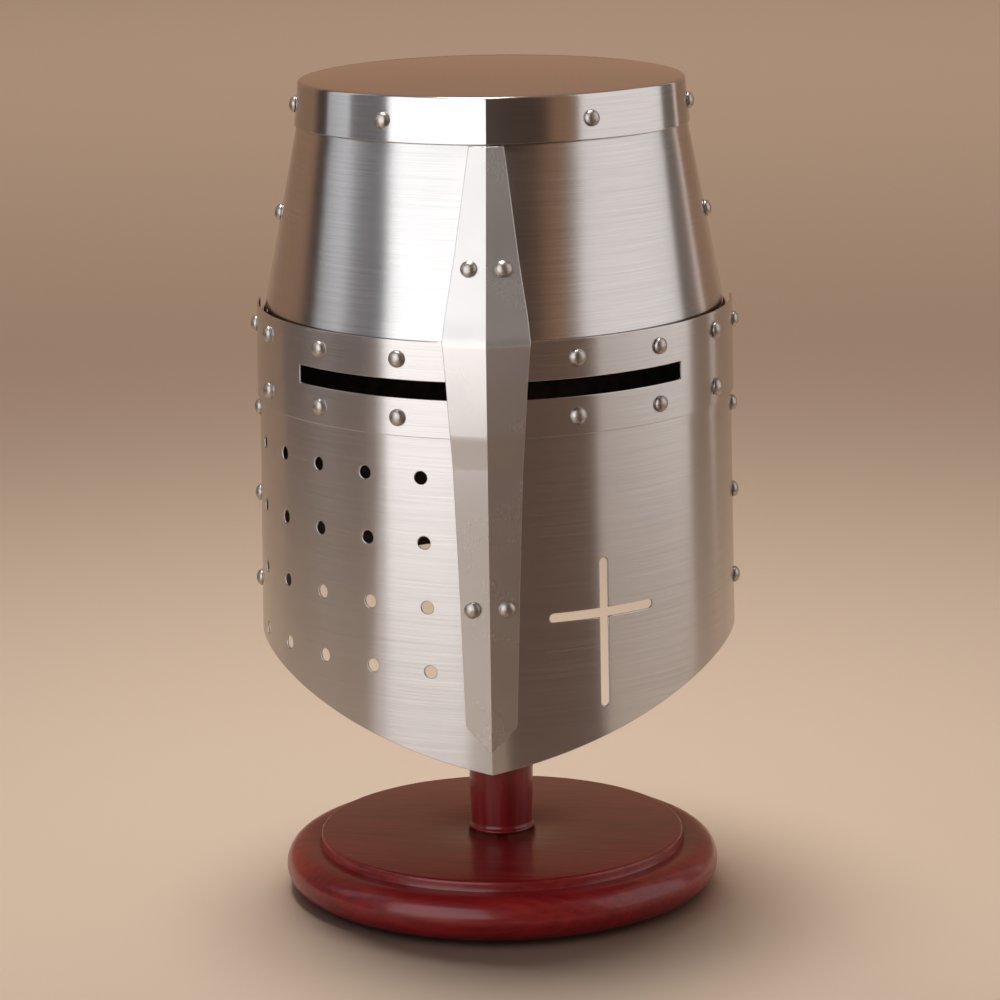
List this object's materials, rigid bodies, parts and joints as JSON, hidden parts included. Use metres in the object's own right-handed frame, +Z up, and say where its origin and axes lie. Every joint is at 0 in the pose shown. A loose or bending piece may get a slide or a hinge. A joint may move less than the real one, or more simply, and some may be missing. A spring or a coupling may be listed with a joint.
{
  "type": "knight helmet",
  "caption": "Riveted steel great helm with a sight band, keel strip, air holes and a cross slot, resting on a turned wooden stand.",
  "frame": {"origin": "middle of the stand's foot, under the post, on the surface it rests on", "axes": "+Z up along the post, the helm faces -Y, its wearer's left is +X"},
  "size_m": [0.2224, 0.248, 0.3785],
  "materials": {
    "plate_steel": "fine horizontal brushing",
    "strip_steel": "fine upright brushing",
    "rivet_steel": "polished",
    "screw_steel": "zinc plated",
    "mahogany": "gloss lacquer",
    "leather": "vegetable tanned",
    "lace_cord": "matt",
    "felt": "wool felt",
    "brass": "satin"
  },
  "bodies": {
    "stand": {"stand_base": "mahogany", "base_felt": "felt", "stand_screw": "screw_steel", "stand_post": "mahogany"},
    "stand_head": {"stand_head": "mahogany", "stand_pad": "felt"},
    "helm": {"crown_cap": "plate_steel", "face_plate": "plate_steel", "keel_strip": "strip_steel", "liner_band": "leather", "liner_crown": "leather", "liner_lace": "lace_cord", "nape_plate": "plate_steel", "rivet_brow_left_1": "rivet_steel", "rivet_brow_left_2": "rivet_steel", "rivet_brow_left_3": "rivet_steel", "rivet_brow_right_1": "rivet_steel", "rivet_brow_right_2": "rivet_steel", "rivet_brow_right_3": "rivet_steel", "rivet_cheek_left_1": "rivet_steel", "rivet_cheek_left_2": "rivet_steel", "rivet_cheek_left_3": "rivet_steel", "rivet_cheek_right_1": "rivet_steel", "rivet_cheek_right_2": "rivet_steel", "rivet_cheek_right_3": "rivet_steel", "rivet_crown_1": "rivet_steel", "rivet_crown_2": "rivet_steel", "rivet_crown_3": "rivet_steel", "rivet_crown_4": "rivet_steel", "rivet_crown_left": "rivet_steel", "rivet_crown_right": "rivet_steel", "rivet_keel_lower_left": "rivet_steel", "rivet_keel_lower_right": "rivet_steel", "rivet_keel_upper_left": "rivet_steel", "rivet_keel_upper_right": "rivet_steel", "rivet_nape_1": "rivet_steel", "rivet_nape_2": "rivet_steel", "rivet_nape_3": "rivet_steel", "rivet_seam_left_1": "rivet_steel", "rivet_seam_left_2": "rivet_steel", "rivet_seam_left_3": "rivet_steel", "rivet_seam_left_4": "rivet_steel", "rivet_seam_right_1": "rivet_steel", "rivet_seam_right_2": "rivet_steel", "rivet_seam_right_3": "rivet_steel", "rivet_seam_right_4": "rivet_steel", "rivet_skull_left": "rivet_steel", "rivet_skull_right": "rivet_steel", "sight_band": "plate_steel", "skull_back": "plate_steel", "skull_front": "plate_steel", "strap_tab_left": "leather", "strap_tab_right": "leather"},
    "strap_left": {"strap_left": "leather", "strap_buckle": "brass"},
    "strap_right": {"strap_right": "leather"},
    "buckle_prong": {"buckle_prong": "brass"}
  },
  "joints": [
    {"name": "stand_head_turn", "type": "hinge", "parent": "stand", "child": "stand_head", "pos_m": [0, 0, 0.302], "axis": [0, 0, 1], "continuous": true},
    {"name": "helm_lift", "type": "slide", "parent": "stand_head", "child": "helm", "axis": [0, 0, 1], "range_m": [0, 0.28]},
    {"name": "strap_left_swing", "type": "hinge", "parent": "helm", "child": "strap_left", "pos_m": [0.1018, -0.0058, 0.2134], "axis": [0, 1, 0], "range_deg": [0, 40]},
    {"name": "strap_right_swing", "type": "hinge", "parent": "helm", "child": "strap_right", "pos_m": [-0.1018, -0.0058, 0.2134], "axis": [0, -1, 0], "range_deg": [0, 40]},
    {"name": "buckle_prong_swing", "type": "hinge", "parent": "strap_left", "child": "buckle_prong", "pos_m": [0.0991, -0.0058, 0.1497], "axis": [0, 1, 0], "range_deg": [0, 120]}
  ]
}
